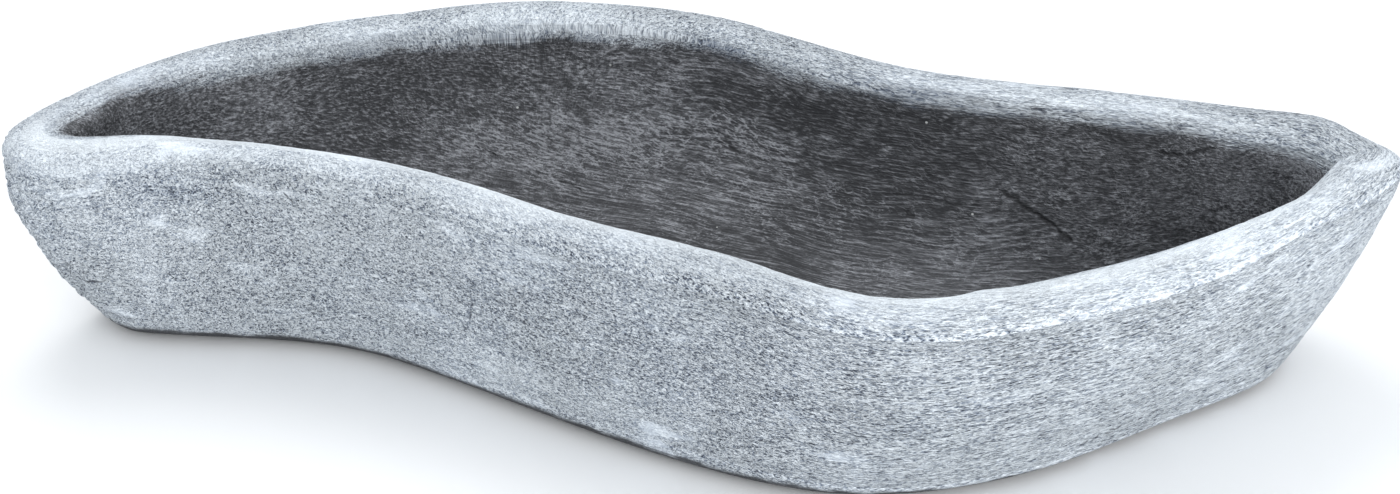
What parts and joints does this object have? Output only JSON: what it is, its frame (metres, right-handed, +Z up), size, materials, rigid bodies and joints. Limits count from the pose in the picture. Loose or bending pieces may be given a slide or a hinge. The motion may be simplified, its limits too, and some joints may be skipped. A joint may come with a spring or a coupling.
{
  "type": "trough planter",
  "caption": "Low S-curved trough planter in cast stone, with a thick rounded rim, leaning walls, a dished floor and lift-out rubber stoppers in its drain holes.",
  "frame": {"origin": "on the ground, under the middle of the rim", "axes": "+X along the length to the right tip, +Y across the width to the back, +Z up"},
  "size_m": [0.914, 0.422, 0.16],
  "materials": {
    "cast_stone": "matte",
    "stopper_rubber": "satin"
  },
  "bodies": {
    "planter": {"planter_body": "cast_stone"},
    "stopper_left": {"drain_stopper_left": "stopper_rubber"},
    "stopper_middle": {"drain_stopper_middle": "stopper_rubber"},
    "stopper_right": {"drain_stopper_right": "stopper_rubber"}
  },
  "joints": [
    {"name": "stopper_left_lift", "type": "slide", "parent": "planter", "child": "stopper_left", "axis": [0, 0, 1], "range_m": [0, 0.06]},
    {"name": "stopper_middle_lift", "type": "slide", "parent": "planter", "child": "stopper_middle", "axis": [0, 0, 1], "range_m": [0, 0.06]},
    {"name": "stopper_right_lift", "type": "slide", "parent": "planter", "child": "stopper_right", "axis": [0, 0, 1], "range_m": [0, 0.06]}
  ]
}
